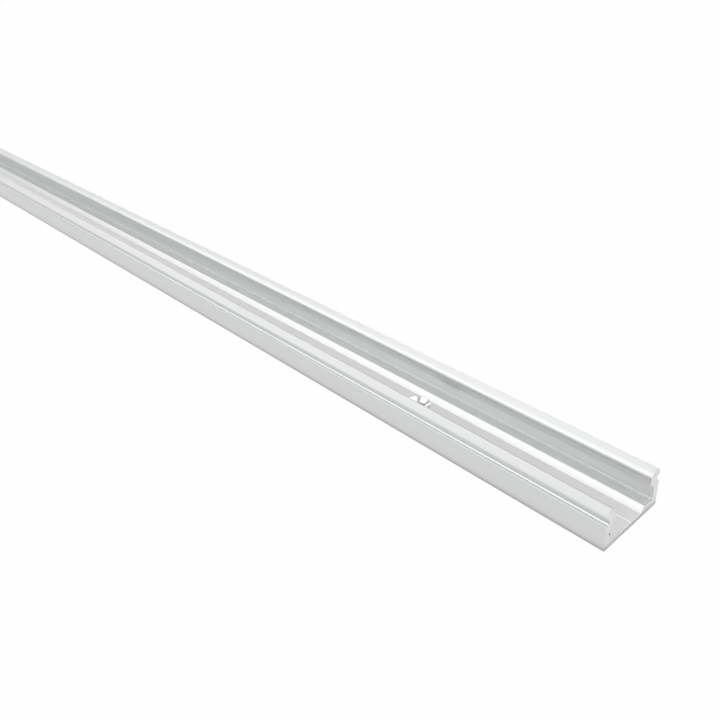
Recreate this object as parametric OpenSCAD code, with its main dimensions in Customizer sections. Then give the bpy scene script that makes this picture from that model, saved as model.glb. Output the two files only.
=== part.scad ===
// Aluminium channel profile: one extruded length of U-channel stock with clip lips along both walls,
// a stepped floor with a sunk middle strip, and countersunk screw holes on the centre line.
// The length runs along X, the width along Y, and the flat underside lies on Z = 0. All sizes in mm.

/* [Stock] */
// length the stock is cut to
profile_length = 1000; // [400:50:3000]
// width over the outer faces of the two walls
body_w = 16; // [15.5:0.5:30]
// height from the underside to the top of the lips
body_h = 9; // [8.5:0.25:20]

/* [Base] */
// thickness of the sunk middle floor
floor_t = 0.95; // [0.8:0.05:1.2]
// height of the side floor where it meets a wall
side_floor_h = 1.65; // [1.45:0.05:2]
// height of the ridge along the inner edge of a side floor
ridge_h = 2.1; // [1.8:0.05:2.4]
// distance of the ridge from the outer face
ridge_in = 3.87; // [3.2:0.05:4.4]
// run of the inclined face from the ridge down to the middle floor
incline_run = 1; // [0.6:0.05:1.3]
// radius of the long bottom edges
base_edge_r = 0.4; // [0.1:0.05:0.7]
// radius along the ridge
ridge_r = 0.25; // [0.1:0.05:0.35]
// width of the centring groove along the middle floor
centre_groove_w = 0.5; // [0.3:0.05:1]
// depth of the centring groove
centre_groove_d = 0.13; // [0.08:0.01:0.3]

/* [Walls] */
// thickness of a wall
wall_t = 1.35; // [1.2:0.05:1.6]
// radius of the fillet between a wall and the side floor
foot_fillet_r = 0.15; // [0.1:0.05:0.5]

/* [Lips] */
// depth of the ledge below the top of the lip
ledge_drop = 3.35; // [3.1:0.05:4]
// width of the ledge that the cover's leg stands on
ledge_w = 0.8; // [0.6:0.05:0.95]
// radius along the edge of the ledge
ledge_edge_r = 0.15; // [0.05:0.05:0.25]
// radius in the corner between ledge and neck
neck_fillet_r = 0.35; // [0.1:0.05:0.4]
// depth of the neck's upper end below the top of the lip
neck_drop = 2.25; // [2.05:0.05:2.5]
// depth of the hook's point below the top of the lip
hook_drop = 1.6; // [1.45:0.05:1.75]
// height of the blunt point of the hook
hook_point_h = 0.3; // [0.25:0.05:0.45]
// radius along the point of the hook
hook_r = 0.25; // [0.05:0.05:0.3]
// distance of the lip's top from the outer face
top_in = 0.95; // [0.8:0.05:1.2]
// width of the flat along the lip's top
top_w = 0.25; // [0.2:0.05:0.4]
// radius along the outer edge of the lip's top
top_out_r = 0.3; // [0.05:0.05:0.3]
// radius along the inner edge of the lip's top
top_inner_r = 0.08; // [0.04:0.01:0.09]

/* [Inner beads] */
// reach of the bead from the outer face
bead_in = 2.7; // [2.5:0.05:3]
// depth of the bead's shoulder below the top of the lip
shoulder_drop = 1.25; // [1:0.05:1.4]
// radius of the bead's shoulder
shoulder_r = 0.8; // [0.2:0.05:0.9]
// depth of the bead's lower corner below the top of the lip
bead_drop = 2.55; // [2.4:0.05:2.8]
// radius of the bead's lower corner
bead_r = 0.3; // [0.1:0.05:0.35]
// distance of the bead's foot from the outer face
bead_foot_in = 1.8; // [1.7:0.05:2.2]
// depth of the bead's foot below the top of the lip
bead_foot_drop = 4.1; // [3.8:0.05:4.4]
// height of the step between the bead's foot and the wall
bead_step_h = 0.3; // [0.2:0.05:0.5]

/* [Screw holes] */
// diameter of the screw holes
hole_d = 4; // [3:0.1:4.4]
// diameter of the countersink at the middle floor
csk_d = 6.8; // [6:0.1:7.2]
// included angle of the countersink
csk_angle = 132; // [130:1:140]
// distance of the end holes from the ends of the stock
hole_end = 52; // [20:1:150]
// holes along the length
hole_count = 3; // [2:1:5]

/* [Hidden] */
arc_fn = 96;
half_w = body_w / 2;
cut_over = 1;
// how far a corner tool reaches from its arc's centre, next to the corner it rounds
tool_past = 1.5;
// angle at which a rounding arc meets the flats beside it
arc_meet = 4;
// extra radius of the countersinking tool past the rim it leaves in the middle floor
tool_extra = 0.1;
csk_slope = tan(csk_angle / 2);
csk_tool_r = csk_d / 2 + tool_extra;
csk_foot_h = floor_t - (csk_d - hole_d) / 2 / csk_slope;
csk_top_h = floor_t + tool_extra / csk_slope;
hole_pitch = (profile_length - 2 * hole_end) / (hole_count - 1);

// corners of the +Y half of the section, from the bottom edge up the outside and down the inside
base_corner = [half_w, 0];
ledge_edge = [half_w, body_h - ledge_drop];
ledge_root = [half_w - ledge_w, body_h - ledge_drop];
neck_centre = ledge_root + [neck_fillet_r, neck_fillet_r];
neck_top = [half_w - ledge_w, body_h - neck_drop];
hook_low = [half_w, body_h - hook_drop];
hook_high = [half_w, body_h - hook_drop + hook_point_h];
top_out = [half_w - top_in, body_h];
top_inner = [half_w - top_in - top_w, body_h];
shoulder = [half_w - bead_in, body_h - shoulder_drop];
bead_low = [half_w - bead_in, body_h - bead_drop];
bead_foot = [half_w - bead_foot_in, body_h - bead_foot_drop];
wall_top = [half_w - wall_t, body_h - bead_foot_drop - bead_step_h];
wall_foot = [half_w - wall_t, side_floor_h];
ridge = [half_w - ridge_in, ridge_h];
recess_edge = [half_w - ridge_in - incline_run, floor_t];
groove_edge = [centre_groove_w / 2, floor_t];
groove_low = [0, floor_t - centre_groove_d];

// fillet at the foot of the wall: ways along its two flanks, where it meets them, and its centre
wall_way = [0, 1];
floor_way = (ridge - wall_foot) / norm(ridge - wall_foot);
foot_half_angle = acos(wall_way * floor_way) / 2;
foot_reach = foot_fillet_r / tan(foot_half_angle);
foot_centre = wall_foot
    + (wall_way + floor_way) / norm(wall_way + floor_way) * foot_fillet_r / sin(foot_half_angle);

half_section = [
    base_corner, ledge_edge, [neck_centre.x, ledge_root.y], neck_centre, [ledge_root.x, neck_centre.y],
    neck_top, hook_low, hook_high, top_out, top_inner, shoulder, bead_low, bead_foot, wall_top,
    wall_foot + wall_way * foot_reach, foot_centre, wall_foot + floor_way * foot_reach,
    ridge, recess_edge, groove_edge
];

function mirrored(p) = [-p.x, p.y];

// what lies between the corner v of the outline a-v-b and the arc of radius r that rounds it
module corner_tool(a, v, b, r) {
    u = (a - v) / norm(a - v);
    w = (b - v) / norm(b - v);
    half_angle = acos(u * w) / 2;
    reach = r / tan(half_angle);
    centre = v + (u + w) / norm(u + w) * r / sin(half_angle);
    outer = [for (p = [v + u * reach, v, v + w * reach]) centre + (p - centre) * tool_past];
    difference() {
        polygon(concat([centre], outer));
        translate(centre) circle(r = r / cos(arc_meet), $fn = arc_fn);
    }
}

module both_halves() {
    children();
    mirror([1, 0]) children();
}

module section() {
    last = len(half_section) - 1;
    difference() {
        polygon(concat(half_section, [groove_low], [for (i = [last : -1 : 0]) mirrored(half_section[i])]));
        both_halves() {
            translate(neck_centre) circle(r = neck_fillet_r, $fn = arc_fn);
            corner_tool(mirrored(base_corner), base_corner, ledge_edge, base_edge_r);
            corner_tool(base_corner, ledge_edge, ledge_root, ledge_edge_r);
            corner_tool(neck_top, hook_low, hook_high, hook_r);
            corner_tool(hook_low, hook_high, top_out, hook_r);
            corner_tool(hook_high, top_out, top_inner, top_out_r);
            corner_tool(top_out, top_inner, shoulder, top_inner_r);
            corner_tool(top_inner, shoulder, bead_low, shoulder_r);
            corner_tool(shoulder, bead_low, bead_foot, bead_r);
            corner_tool(wall_foot, ridge, recess_edge, ridge_r);
            translate(foot_centre) circle(r = foot_fillet_r / cos(arc_meet), $fn = arc_fn);
        }
    }
}

// through hole with its countersink and the tool's way in from above
module screw_hole() {
    rotate_extrude($fn = arc_fn)
        polygon([
            [0, -cut_over], [hole_d / 2, -cut_over], [hole_d / 2, csk_foot_h], [csk_tool_r, csk_top_h],
            [csk_tool_r, body_h + cut_over], [0, body_h + cut_over]
        ]);
}

module channel_profile() {
    color([0.80, 0.81, 0.81])
        difference() {
            rotate([90, 0, 90]) linear_extrude(height = profile_length, center = true) section();
            for (i = [0 : hole_count - 1])
                translate([i * hole_pitch - profile_length / 2 + hole_end, 0, 0]) screw_hole();
        }
}

channel_profile();
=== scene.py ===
"""Looks of an aluminium channel profile, a satin anodised length of U-channel with screw holes."""

import math

import bmesh
import bpy
from mathutils import Matrix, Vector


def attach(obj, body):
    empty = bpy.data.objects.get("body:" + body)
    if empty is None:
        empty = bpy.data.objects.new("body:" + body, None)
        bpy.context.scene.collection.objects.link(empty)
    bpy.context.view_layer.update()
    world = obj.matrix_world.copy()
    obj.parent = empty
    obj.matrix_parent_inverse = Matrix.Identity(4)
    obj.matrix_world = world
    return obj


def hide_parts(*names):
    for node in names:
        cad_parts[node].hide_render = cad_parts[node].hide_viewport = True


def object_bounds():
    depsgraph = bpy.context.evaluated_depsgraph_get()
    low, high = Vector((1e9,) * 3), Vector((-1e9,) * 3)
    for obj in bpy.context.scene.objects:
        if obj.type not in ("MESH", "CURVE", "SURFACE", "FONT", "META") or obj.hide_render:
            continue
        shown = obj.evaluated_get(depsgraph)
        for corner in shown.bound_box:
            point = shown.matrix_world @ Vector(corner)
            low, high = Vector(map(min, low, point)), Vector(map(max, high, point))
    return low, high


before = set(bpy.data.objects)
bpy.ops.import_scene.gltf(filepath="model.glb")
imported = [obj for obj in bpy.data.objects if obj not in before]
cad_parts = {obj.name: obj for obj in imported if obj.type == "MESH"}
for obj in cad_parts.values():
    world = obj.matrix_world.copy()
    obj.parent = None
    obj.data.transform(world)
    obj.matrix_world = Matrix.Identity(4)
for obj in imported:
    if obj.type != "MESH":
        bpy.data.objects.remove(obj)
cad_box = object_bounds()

# Camera
# It stands past the near end, above and to the -Y side, and looks back along the length. Its place, angles
# and lens were fitted to the long edges and the sawn end in the photograph, so no shift is needed.
camera_place = (0.549899, -0.097327, 0.104371)
camera_degrees = (57.0799, 4.7324, 47.7483)
camera = bpy.data.objects.new("camera", bpy.data.cameras.new("camera"))
camera.location = camera_place
camera.rotation_euler = [math.radians(turn) for turn in camera_degrees]
camera.data.sensor_width = 36
camera.data.lens = 40.507
camera.data.clip_start = 0.005
bpy.context.scene.collection.objects.link(camera)
bpy.context.scene.camera = camera
bpy.context.scene.view_settings.view_transform = "Standard"

# Channel
# One length of aluminium pushed hot through a die and anodised: a base, two walls with clip lips and beads,
# and a sunk strip along the floor. Both ends are sawn across, so they show bare metal.
MM = 0.001
half_length = cad_box[1][0]
# sizes of the section in mm: "in" is from the outer face, "drop" is from the top of the lip, "h" from below
half_w = cad_box[1][1] / MM
height = cad_box[1][2] / MM
base_edge_r = 0.06
ledge_drop = 3.35
ledge_edge_r = 0.15
ledge_dip = 0.095
neck_in = 0.81
neck_lean = 0.07
neck_drop = 2.25
neck_chamfer_w = 0.17
neck_chamfer_h = 0.18
hook_low_drop = 1.6
hook_low_r = 0.25
hook_drop = 1.3
hook_r = 0.5
top_in = 0.95
top_w = 0.25
top_out_r = 0.1
top_inner_r = 0.08
slope_in = 2.2
slope_drop = 0.785
slope_r = 4
bead_in = 2.8
shoulder_drop = 1.45
shoulder_r = 1.1
bead_drop = 2.95
bead_foot_in = 1.8
bead_foot_drop = 3.93
bead_edge_r = 0.1
wall_t = 1.35
wall_top_drop = 4.3
foot_line_h = 2.08
foot_line_w = 0.06
foot_r = 0.05
side_floor_h = 1.665
ridge_in = 3.87
ridge_h = 2.1
ridge_r = 0.25
incline_run = 1.07
strip_h = 0.95
groove_half_w = 0.25
groove_d = 0.13
strip_half_w = half_w - ridge_in - incline_run
ledge_low = height - ledge_drop - ledge_dip
# corners of the +Y half from the middle of the underside, up the outside and down the inside: y, z, round
die_corners = [
    (0, 0, 0),
    (half_w, 0, base_edge_r),
    (half_w, height - ledge_drop, ledge_edge_r),
    (half_w - neck_in + neck_chamfer_w, ledge_low, 0),
    (half_w - neck_in, ledge_low + neck_chamfer_h, 0),
    (half_w - neck_in + neck_lean, height - neck_drop, 0),
    (half_w, height - hook_low_drop, hook_low_r),
    (half_w, height - hook_drop, hook_r),
    (half_w - top_in, height, top_out_r),
    (half_w - top_in - top_w, height, top_inner_r),
    (half_w - slope_in, height - slope_drop, slope_r),
    (half_w - bead_in, height - shoulder_drop, shoulder_r),
    (half_w - bead_in, height - bead_drop, bead_edge_r),
    (half_w - bead_foot_in, height - bead_foot_drop, bead_edge_r),
    (half_w - wall_t, height - wall_top_drop, bead_edge_r),
    (half_w - wall_t, foot_line_h, 0),
    (half_w - wall_t - foot_line_w, foot_line_h - foot_line_w, 0),
    (half_w - wall_t - foot_line_w, side_floor_h, foot_r),
    (half_w - ridge_in, ridge_h, ridge_r),
    (strip_half_w, strip_h, 0),
    (groove_half_w, strip_h, 0),
    (0, strip_h - groove_d, 0),
]
# faces to each rounded corner, and the distance in metres within which two points are one
edge_steps = 8
same_place = 1e-7


def round_corner(die, corner, radius):
    """Rounds one corner of the section to a radius in mm."""
    ways = [(e.other_vert(corner).co - corner.co).normalized() for e in corner.link_edges]
    reach = radius * MM / math.tan(ways[0].angle(ways[1]) / 2)
    bmesh.ops.bevel(die, geom=[corner], offset=reach, offset_type="OFFSET", affect="VERTICES",
                    segments=edge_steps, profile=0.5, material=-1, clamp_overlap=False)


die = bmesh.new()
corners = [die.verts.new((-half_length, y * MM, z * MM)) for y, z, _ in die_corners]
for start, end in zip(corners, corners[1:] + corners[:1]):
    die.edges.new((start, end))
bmesh.ops.contextual_create(die, geom=die.edges[:])
for corner, (_, _, radius) in zip(corners, die_corners):
    if radius:
        round_corner(die, corner, radius)
bmesh.ops.mirror(die, geom=die.verts[:] + die.edges[:] + die.faces[:], axis="Y", merge_dist=same_place)
bmesh.ops.dissolve_edges(die, edges=[e for e in die.edges if len(e.link_faces) == 2], use_verts=False)
pushed = bmesh.ops.extrude_face_region(die, geom=die.faces[:])
bmesh.ops.translate(die, vec=(2 * half_length, 0, 0),
                    verts=[v for v in pushed["geom"] if isinstance(v, bmesh.types.BMVert)])
bmesh.ops.recalc_face_normals(die, faces=die.faces[:])

# the saw's sharp edge at both ends is broken by a light pass of a file
end_break = 0.04
end_edges = [e for e in die.edges if abs(e.verts[0].co.x - e.verts[1].co.x) < same_place]
bmesh.ops.bevel(die, geom=end_edges, offset=end_break * MM, offset_type="OFFSET", affect="EDGES", segments=2,
                profile=0.5, material=-1, clamp_overlap=True)

# cross cuts along the length, so that no face is a metre long and a hair wide
stretches = 40
for cut in range(1, stretches):
    cut_x = half_length * (2 * cut / stretches - 1)
    bmesh.ops.bisect_plane(die, geom=die.verts[:] + die.edges[:] + die.faces[:], dist=same_place,
                           plane_co=(cut_x, 0, 0), plane_no=(1, 0, 0))

# a face is sawn where it looks along the stock, and of the dull strip where it lies level with it
skin_slot, sawn_slot, strip_slot = range(3)
sawn_normal = 0.9
level_reach = 0.01
for face in die.faces:
    middle = face.calc_center_median() / MM
    if abs(face.normal.x) > sawn_normal:
        face.material_index = sawn_slot
    elif abs(middle.z - strip_h) < level_reach and abs(middle.y) < strip_half_w:
        face.material_index = strip_slot
    else:
        face.material_index = skin_slot
channel_mesh = bpy.data.meshes.new("dressed_channel")
die.to_mesh(channel_mesh)
die.free()
channel = bpy.data.objects.new("dressed_channel", channel_mesh)
bpy.context.scene.collection.objects.link(channel)


class Finish:
    """A value in a finish's node tree. Arithmetic on it adds Math nodes, and make adds any other node."""

    def __init__(self, tree, socket=None):
        self.tree, self.socket = tree, socket

    def make(self, kind, settings=None, sockets=None, output=0):
        node = self.tree.nodes.new(kind)
        for name, value in (settings or {}).items():
            setattr(node, name, value)
        for name, value in (sockets or {}).items():
            if isinstance(value, Finish):
                self.tree.links.new(value.socket, node.inputs[name])
            else:
                node.inputs[name].default_value = value
        return Finish(self.tree, node.outputs[output] if len(node.outputs) else None)

    def math(self, operation, *values):
        return self.make("ShaderNodeMath", {"operation": operation}, dict(enumerate(values)))

    def __add__(self, other):
        return self.math("ADD", self, other)

    def __sub__(self, other):
        return self.math("SUBTRACT", self, other)

    def __rsub__(self, other):
        return self.math("SUBTRACT", other, self)

    def __mul__(self, other):
        return self.math("MULTIPLY", self, other)

    __radd__, __rmul__ = __add__, __mul__


def new_finish(name):
    """An empty material and the start of its finish, with the place on the piece."""
    material = bpy.data.materials.new(name)
    material.use_nodes = True
    material.node_tree.nodes.clear()
    value = Finish(material.node_tree)
    return material, value, value.make("ShaderNodeTexCoord", output="Object")


def noise(value, place, scale, detail):
    """Soft noise with its own scale along each axis, in cells to the metre."""
    scaled = value.make("ShaderNodeMapping", sockets={"Vector": place, "Scale": scale})
    return value.make("ShaderNodeTexNoise", sockets={"Vector": scaled, "Scale": 1, "Detail": detail})


def relief(value, height, strength, depth):
    """A normal that follows a height, where depth is the height's full reach in mm."""
    return value.make("ShaderNodeBump", sockets={
        "Height": height, "Strength": strength, "Distance": depth * MM})


def tone(value, share, dark, light):
    """A colour between a dark and a light one."""
    return value.make("ShaderNodeMix", {"data_type": "RGBA"},
                      {0: share, 6: (*dark, 1), 7: (*light, 1)}, output=2)


def coat(value, **sockets):
    """Ends a finish in one metal shader."""
    named = {name.replace("_", " "): socket for name, socket in sockets.items()}
    shader = value.make("ShaderNodeBsdfPrincipled", sockets=named)
    value.make("ShaderNodeOutputMaterial", sockets={"Surface": shader})


# how many of the die's fine lines and of the slow patches of sheen go to a metre along and across the stock
line_scale = (1.5, 9000, 9000)
sheen_scale = (14, 160, 160)

# the anodised skin: fine draw lines from the die along the length, and a slow change of sheen
skin, value, place = new_finish("satin_anodised")
lines = noise(value, place, line_scale, detail=3)
sheen = noise(value, place, sheen_scale, detail=2)
coat(value, Metallic=1,
     Base_Color=tone(value, sheen, dark=(0.783, 0.794, 0.79), light=(0.803, 0.814, 0.81)),
     Roughness=lines * 0.06 + sheen * 0.05 + 0.3, Normal=relief(value, lines, strength=0.25, depth=0.004))

# the sunk strip, where the die leaves a paler and duller face
strip, value, place = new_finish("dull_strip")
lines = noise(value, place, line_scale, detail=3)
sheen = noise(value, place, sheen_scale, detail=2)
coat(value, Metallic=0.15,
     Base_Color=tone(value, sheen, dark=(0.905, 0.91, 0.897), light=(0.935, 0.94, 0.927)),
     Roughness=lines * 0.1 + 0.55, Normal=relief(value, lines, strength=0.25, depth=0.004))

# the sawn ends: bare metal with the saw's fine shallow arcs and a mottled grey bloom
saw_pitch = 0.22 * MM
saw_r = 90 * MM
saw_aside = 0.4 * saw_r
bloom_scale = (1100, 1100, 1100)
sawn, value, place = new_finish("sawn_metal")
flat_place = value.make("ShaderNodeVectorMath", {"operation": "MULTIPLY"}, {0: place, 1: (0, 1, 1)})
saw_reach = value.make("ShaderNodeVectorMath", {"operation": "DISTANCE"},
                       {0: flat_place, 1: (0, saw_aside, saw_r)}, output="Value")
saw_way = value.make("ShaderNodeCombineXYZ", sockets={"X": saw_reach * (1 / saw_pitch)})
teeth = noise(value, saw_way, (1, 1, 1), detail=3)
bloom = noise(value, place, bloom_scale, detail=4)
blotch = value.make("ShaderNodeMapRange", sockets={"Value": bloom, "From Min": 0.38, "From Max": 0.6})
coat(value, Metallic=1,
     Base_Color=tone(value, blotch, dark=(0.83, 0.835, 0.83), light=(0.95, 0.955, 0.95)),
     Roughness=bloom * 0.2 + 0.28, Normal=relief(value, teeth, strength=0.5, depth=0.02))

for material in (skin, sawn, strip):
    channel_mesh.materials.append(material)

# Screw holes
# Three through holes are drilled and countersunk from inside the channel. The countersink is a little wider
# than the sunk strip, so it nicks the foot of both inclines. Its cone is bare metal with fine turning rings.
hole_end = 52
hole_r = 2
hole_steps = 96
cone_r = 3.2
cone_degrees = 132
cone_rise = 1 / math.tan(math.radians(cone_degrees / 2))
tool_r = 3.25
cut_over = 1
hole_pitch = half_length / MM - hole_end
hole_profile = [
    (0, -cut_over),
    (hole_r, -cut_over),
    (hole_r, strip_h - (cone_r - hole_r) * cone_rise),
    (tool_r, strip_h + (tool_r - cone_r) * cone_rise),
    (tool_r, height + cut_over),
    (0, height + cut_over),
]
drill = bmesh.new()
for hole_x in (-hole_pitch, 0, hole_pitch):
    points = [drill.verts.new(((hole_x + r) * MM, 0, z * MM)) for r, z in hole_profile]
    edges = [drill.edges.new(pair) for pair in zip(points, points[1:])]
    bmesh.ops.spin(drill, geom=points + edges, cent=(hole_x * MM, 0, 0), axis=(0, 0, 1), angle=2 * math.pi,
                   steps=hole_steps, use_merge=True)
bmesh.ops.remove_doubles(drill, verts=drill.verts[:], dist=same_place)

# the saw chipped a small nick into the near wall's end, and its dark colour is painted shade
nick_in = 1.14
nick_h = 3.32
nick_depth = 0.5
nick_half_w = 0.15
nick_half_h = 0.32
nick_place = Matrix.Translation((half_length, (nick_in - half_w) * MM, nick_h * MM))
nick_size = Matrix.Diagonal((nick_depth * MM, nick_half_w * MM, nick_half_h * MM, 1))
nick = bmesh.ops.create_icosphere(drill, subdivisions=3, radius=1, matrix=nick_place @ nick_size)
nick_faces = {f for v in nick["verts"] for f in v.link_faces}
turned_slot, nick_shade_slot = range(2)
for face in drill.faces:
    face.material_index = nick_shade_slot if face in nick_faces else turned_slot
bmesh.ops.recalc_face_normals(drill, faces=drill.faces[:])
drill_mesh = bpy.data.meshes.new("drill")
drill.to_mesh(drill_mesh)
drill.free()
drill_object = bpy.data.objects.new("drill", drill_mesh)
bpy.context.scene.collection.objects.link(drill_object)

# the cones' fine turning rings lie round the nearest hole, and the nick is rough, with its dark colour
# painted shade
ring_pitch = 0.12 * MM
turned, value, place = new_finish("turned_metal")
along = value.make("ShaderNodeSeparateXYZ", sockets={"Vector": place}, output="X")
across = value.make("ShaderNodeSeparateXYZ", sockets={"Vector": place}, output="Y")
from_hole = value.math("WRAP", along, hole_pitch * MM / 2, -hole_pitch * MM / 2)
ring = value.math("SQRT", from_hole * from_hole + across * across)
rings = value.math("SINE", ring * (2 * math.pi / ring_pitch))
coat(value, Metallic=1, Base_Color=(0.82, 0.825, 0.81, 1), Roughness=rings * 0.02 + 0.14,
     Normal=relief(value, rings, strength=0.2, depth=0.002))
crumb_scale = (9000, 9000, 9000)
# painted shade: the nick's near-black colour stands in for the shade that falls in the dent
nick_shade, value, place = new_finish("nick_painted_shade")
crumb = noise(value, place, crumb_scale, detail=2)
coat(value, Metallic=0.8,
     Base_Color=tone(value, crumb, dark=(0.22, 0.22, 0.22), light=(0.38, 0.38, 0.38)), Roughness=0.6)
for material in (turned, nick_shade):
    drill_mesh.materials.append(material)

# the holes and the nick are cut, and edges that turn by more than an arc's step stay sharp
sharp_degrees = 14
bore = channel.modifiers.new("screw_holes", "BOOLEAN")
bore.operation = "DIFFERENCE"
bore.solver = "EXACT"
bore.object = drill_object
bore.material_mode = "TRANSFER"
drilled = bpy.data.meshes.new_from_object(channel.evaluated_get(bpy.context.evaluated_depsgraph_get()))
channel.modifiers.clear()
channel.data = drilled
bpy.data.objects.remove(drill_object)
drilled.shade_smooth()
drilled.set_sharp_from_angle(angle=math.radians(sharp_degrees))
channel.modifiers.new("flats_stay_flat", "WEIGHTED_NORMAL").keep_sharp = True
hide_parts("channel_profile")
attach(channel, "root")

# Floor
# A white studio floor that runs into a white surround. It is plain white where it is looked at, a little
# greyer where the metal mirrors it, with a painted shadow that darkens that mirrored glow towards the part's
# foot, and it takes the part's soft shadow.
floor_drop = 0.02 * MM
floor_reach = 6
floor_mesh = bpy.data.meshes.new("floor")
sheet = bmesh.new()
bmesh.ops.create_grid(sheet, x_segments=1, y_segments=1, size=floor_reach)
bmesh.ops.translate(sheet, vec=(0, 0, -floor_drop), verts=sheet.verts[:])
sheet.to_mesh(floor_mesh)
sheet.free()
floor = bpy.data.objects.new("floor", floor_mesh)
bpy.context.scene.collection.objects.link(floor)


def looked_at(value, camera, mirror, glass):
    """The given strengths where the camera, a mirror reflection or a view through glass meets a surface."""
    strengths = {"Is Camera Ray": camera, "Is Glossy Ray": mirror, "Is Transmission Ray": glass}
    rays = [value.make("ShaderNodeLightPath", output=ray) * share for ray, share in strengths.items()]
    return rays[0] + rays[1] + rays[2]


# distances in metres out from the part's outline, and levels between black and white
bare_from = -0.3 * MM
painted_shadow_from = -0.2 * MM
painted_shadow_to = 0.9 * MM
# painted shadow: how dark the mirrored floor is painted right at the part's foot
painted_shadow_level = 0.24
mirrored_level = 0.82
looked_at_level = 0.98
white_floor, value, place = new_finish("white_floor")
along = value.make("ShaderNodeSeparateXYZ", sockets={"Vector": place}, output="X")
across = value.make("ShaderNodeSeparateXYZ", sockets={"Vector": place}, output="Y")
beside = value.math("MAXIMUM", value.math("ABSOLUTE", along) - half_length,
                    value.math("ABSOLUTE", across) - half_w * MM)
bare = value.math("GREATER_THAN", beside, bare_from)
# painted shadow: the floor's mirrored glow darkens from the mirrored level to the foot level near the part
painted_foot_shadow = value.make("ShaderNodeMapRange", sockets={
    "Value": beside, "From Min": painted_shadow_from, "From Max": painted_shadow_to,
    "To Min": painted_shadow_level, "To Max": mirrored_level})
lit = value.make("ShaderNodeBsdfDiffuse", sockets={"Color": (0.8, 0.8, 0.8, 1)})
mirrored = value.make("ShaderNodeEmission", sockets={
    "Color": tone(value, painted_foot_shadow, dark=(0, 0, 0), light=(1, 1, 1))})
glow = value.make("ShaderNodeEmission", sockets={"Color": (1, 1, 1, 1)})
floor_look = value.make("ShaderNodeMixShader", sockets={
    0: looked_at(value, camera=0, mirror=1, glass=0), 1: lit, 2: mirrored})
whiteness = bare * looked_at_level
white_look = value.make("ShaderNodeMixShader", sockets={
    0: looked_at(value, camera=whiteness, mirror=0, glass=whiteness), 1: floor_look, 2: glow})
value.make("ShaderNodeOutputMaterial", sockets={"Surface": white_look})
floor_mesh.materials.append(white_floor)

# Surround and lamps
# A white room that is greyer overhead where the metal mirrors it, with long lamps that lie level with the
# stock. Each lamp is mirrored in a slope of the section or in the cones, and whitens it over a stretch.
# the grey sets in between two sines of the height over the horizon, and fill is what the room lights with
grey_from = 0.14
grey_to = 0.25
grey_level = 0.55
fill_level = 0.54
world = bpy.data.worlds.new("white_surround")
bpy.context.scene.world = world
world.use_nodes = True
world.node_tree.nodes.clear()
value = Finish(world.node_tree)
way = value.make("ShaderNodeTexCoord", output="Generated")
rise = value.make("ShaderNodeSeparateXYZ", sockets={"Vector": way}, output="Z")
overhead = value.make("ShaderNodeMapRange", sockets={
    "Value": rise, "From Min": grey_from, "From Max": grey_to, "To Min": 1, "To Max": grey_level})
seen = looked_at(value, camera=1, mirror=overhead, glass=1)
unseen = 1 - looked_at(value, camera=1, mirror=1, glass=1)
room = value.make("ShaderNodeBackground", sockets={
    "Color": (1, 1, 1, 1), "Strength": seen + unseen * fill_level})
value.make("ShaderNodeOutputWorld", sockets={"Surface": room})

# metres from the stock's middle line to a lamp, and watts to a square metre at strength 1
lamp_reach = 1.2
lamp_watts = 4


def long_lamp(name, lean, spread, ends, strength):
    """A lamp along the stock, at an angle up from the -Y side and with a width, both in degrees."""
    length = ends[1] - ends[0]
    width = 2 * lamp_reach * math.tan(math.radians(spread / 2))
    up = math.radians(lean)
    lamp = bpy.data.objects.new(name, bpy.data.lights.new(name, "AREA"))
    lamp.data.shape = "RECTANGLE"
    lamp.data.size = length
    lamp.data.size_y = width
    lamp.data.energy = lamp_watts * length * width * strength
    lamp.location = (sum(ends) / 2, -lamp_reach * math.cos(up), lamp_reach * math.sin(up))
    lamp.rotation_euler = (math.pi / 2 - up, 0, 0)
    lamp.visible_camera = False
    bpy.context.scene.collection.objects.link(lamp)


long_lamp("low_lamp", lean=23, spread=12, ends=(-1.9, 0.8), strength=0.37)
long_lamp("key_lamp", lean=41.3, spread=12.6, ends=(-1.8, 0.8), strength=1.15)
long_lamp("slant_lamp", lean=58, spread=12, ends=(-0.5, 0.8), strength=0.43)
long_lamp("slant_back_lamp", lean=58, spread=12, ends=(-3.4, -0.5), strength=0.57)
long_lamp("middle_lamp", lean=88, spread=36, ends=(-0.62, 0.02), strength=1.1)
long_lamp("cone_lamp", lean=117, spread=26, ends=(-2.3, -1.15), strength=0.9)
long_lamp("end_lamp", lean=104, spread=40, ends=(0.3, 0.8), strength=1)
long_lamp("far_lamp", lean=150, spread=15, ends=(-2.3, 0.8), strength=1.5)
